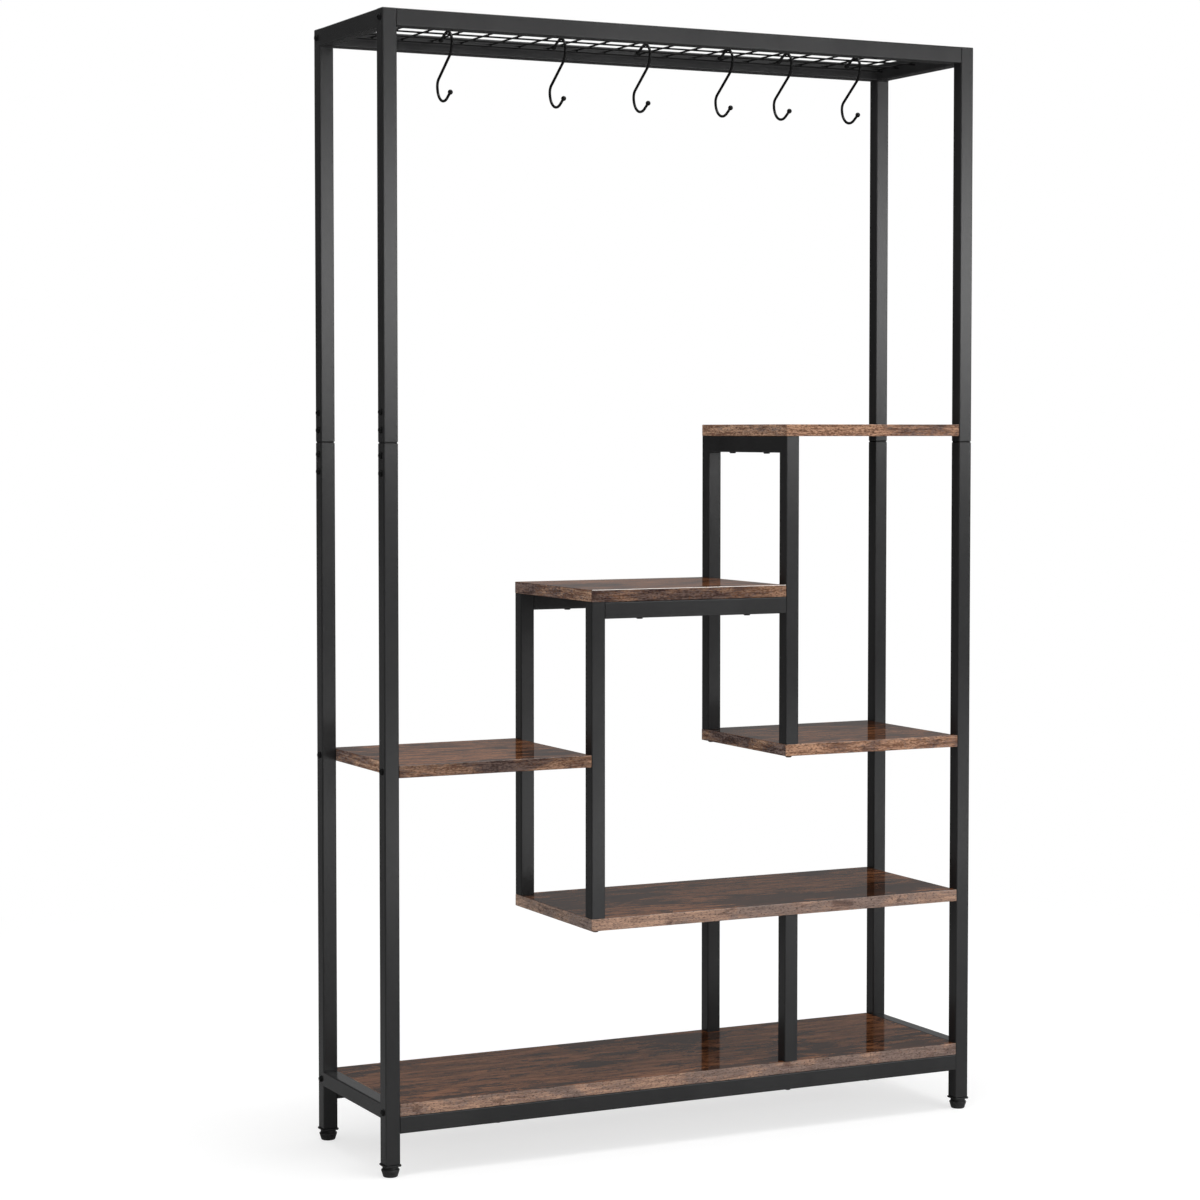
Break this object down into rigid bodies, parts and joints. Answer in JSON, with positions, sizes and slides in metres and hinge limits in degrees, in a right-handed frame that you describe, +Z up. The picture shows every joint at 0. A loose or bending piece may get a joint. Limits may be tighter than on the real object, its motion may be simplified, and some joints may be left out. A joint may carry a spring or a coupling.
{
  "type": "tiered plant stand",
  "caption": "Tall open plant stand of black square tube with stepped boards, a wire grid under the top rails, S hooks on the grid and screw feet.",
  "frame": {"origin": "on the floor, under the middle of the stand", "axes": "+X to the right along the width, the way the boards climb, +Y to the rear, +Z up"},
  "size_m": [1.1066, 0.3044, 1.85],
  "materials": {
    "black_tube": "satin black powder coat",
    "hook_steel": "satin black coat on round wire",
    "black_bolt": "black button heads with a hexagon socket",
    "zinc_steel": "plain zinc plate, hidden inside the tubes and boards",
    "board_laminate": "rustic brown wood-grain laminate with a glossy top",
    "black_plastic": "moulded matt black"
  },
  "bodies": {
    "frame": {"board_bolts": "black_bolt", "board_inserts": "zinc_steel", "board_screws": "black_bolt", "bottom_board": "board_laminate", "bottom_front_rail": "black_tube", "bottom_rear_rail": "black_tube", "foot_sockets": "black_plastic", "joint_bolts": "black_bolt", "left_board": "board_laminate", "left_front_lower_post": "black_tube", "left_front_upper_post": "black_tube", "left_lower_side_rail": "black_tube", "left_rear_lower_post": "black_tube", "left_rear_upper_post": "black_tube", "left_upper_side_rail": "black_tube", "low_board": "board_laminate", "post_bolts": "black_bolt", "post_caps": "black_plastic", "post_plugs": "zinc_steel", "post_sleeves": "black_tube", "rail_bolts": "black_bolt", "rail_plugs": "zinc_steel", "right_board": "board_laminate", "right_front_lower_post": "black_tube", "right_front_upper_post": "black_tube", "right_lower_side_rail": "black_tube", "right_rear_lower_post": "black_tube", "right_rear_upper_post": "black_tube", "right_upper_side_rail": "black_tube", "riser_front_post": "black_tube", "riser_rear_post": "black_tube", "riser_top_rail": "black_tube", "step_board": "board_laminate", "step_front_post": "black_tube", "step_front_rail": "black_tube", "step_rear_post": "black_tube", "step_rear_rail": "black_tube", "support_bolts": "black_bolt", "support_front_post": "black_tube", "support_pegs": "zinc_steel", "support_rear_post": "black_tube", "top_board": "board_laminate", "top_front_rail": "black_tube", "top_rear_rail": "black_tube", "top_wire_grid": "black_tube"},
    "hook_1": {"hook_1": "hook_steel"},
    "hook_2": {"hook_2": "hook_steel"},
    "hook_3": {"hook_3": "hook_steel"},
    "hook_4": {"hook_4": "hook_steel"},
    "hook_5": {"hook_5": "hook_steel"},
    "hook_6": {"hook_6": "hook_steel"},
    "left_front_foot": {"left_front_foot_pad": "black_plastic", "left_front_foot_stud": "zinc_steel"},
    "left_rear_foot": {"left_rear_foot_pad": "black_plastic", "left_rear_foot_stud": "zinc_steel"},
    "right_front_foot": {"right_front_foot_pad": "black_plastic", "right_front_foot_stud": "zinc_steel"},
    "right_rear_foot": {"right_rear_foot_pad": "black_plastic", "right_rear_foot_stud": "zinc_steel"}
  },
  "joints": [
    {"name": "hook_1_swing", "type": "hinge", "parent": "frame", "child": "hook_1", "pos_m": [-0.3745, 0, 1.836], "axis": [1, 0, 0], "range_deg": [-75, 65]},
    {"name": "hook_2_swing", "type": "hinge", "parent": "frame", "child": "hook_2", "pos_m": [-0.16936, 0, 1.836], "axis": [1, 0, 0], "range_deg": [-75, 65]},
    {"name": "hook_3_swing", "type": "hinge", "parent": "frame", "child": "hook_3", "pos_m": [-0.01139, 0, 1.836], "axis": [1, 0, 0], "range_deg": [-75, 65]},
    {"name": "hook_4_swing", "type": "hinge", "parent": "frame", "child": "hook_4", "pos_m": [0.14734, 0, 1.836], "axis": [1, 0, 0], "range_deg": [-75, 65]},
    {"name": "hook_5_swing", "type": "hinge", "parent": "frame", "child": "hook_5", "pos_m": [0.26334, 0, 1.836], "axis": [1, 0, 0], "range_deg": [-75, 65]},
    {"name": "hook_6_swing", "type": "hinge", "parent": "frame", "child": "hook_6", "pos_m": [0.40135, 0, 1.836], "axis": [1, 0, 0], "range_deg": [-75, 65]},
    {"name": "left_front_foot_screw", "type": "slide", "parent": "frame", "child": "left_front_foot", "axis": [0, 0, -1], "range_m": [0, 0.012]},
    {"name": "left_rear_foot_screw", "type": "slide", "parent": "frame", "child": "left_rear_foot", "axis": [0, 0, -1], "range_m": [0, 0.012]},
    {"name": "right_front_foot_screw", "type": "slide", "parent": "frame", "child": "right_front_foot", "axis": [0, 0, -1], "range_m": [0, 0.012]},
    {"name": "right_rear_foot_screw", "type": "slide", "parent": "frame", "child": "right_rear_foot", "axis": [0, 0, -1], "range_m": [0, 0.012]}
  ]
}
